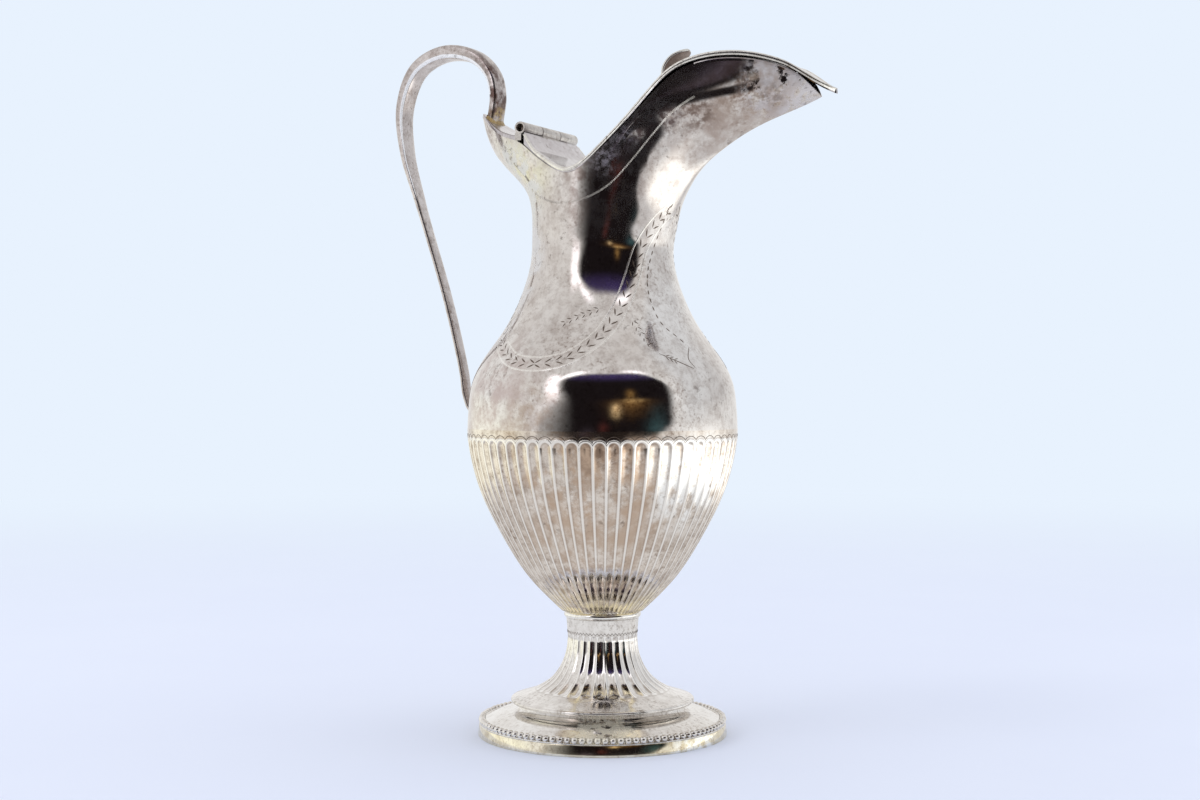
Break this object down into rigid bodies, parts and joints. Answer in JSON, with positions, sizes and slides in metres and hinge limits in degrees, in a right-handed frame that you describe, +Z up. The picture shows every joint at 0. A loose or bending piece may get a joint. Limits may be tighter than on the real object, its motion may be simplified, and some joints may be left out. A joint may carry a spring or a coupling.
{
  "type": "covered milk jug",
  "caption": "Covered silver milk jug with a fluted bowl, helmet spout, hinged saddle lid with a thumbpiece, high loop handle and round beaded foot.",
  "frame": {"origin": "centre of the round foot, on the plane it stands on", "axes": "+Z up, +X from the handle towards the spout, +Y across the jug along the lid's hinge"},
  "size_m": [0.2003, 0.112, 0.2898],
  "materials": {
    "bright_silver": "polished silver with light handling wear",
    "tarnished_silver": "polished silver under mottled pink-grey tarnish",
    "worn_silver": "worn silver with darker recesses"
  },
  "bodies": {
    "jug": {"foot_rim": "worn_silver", "bead_border": "worn_silver", "foot_plate": "bright_silver", "fluted_stem": "bright_silver", "collar_ring": "bright_silver", "fluted_bowl": "tarnished_silver", "neck_and_spout": "tarnished_silver", "rear_plate": "bright_silver", "hinge_knuckle_near": "worn_silver", "hinge_knuckle_far": "worn_silver", "hinge_pin": "worn_silver", "handle": "bright_silver"},
    "lid": {"lid_panel": "bright_silver", "hinge_knuckle_lid": "worn_silver", "thumbpiece": "worn_silver"}
  },
  "joints": [
    {"name": "lid_hinge", "type": "hinge", "parent": "jug", "child": "lid", "pos_m": [-0.026, 0, 0.249], "axis": [0, -1, 0], "range_deg": [0, 105]}
  ]
}
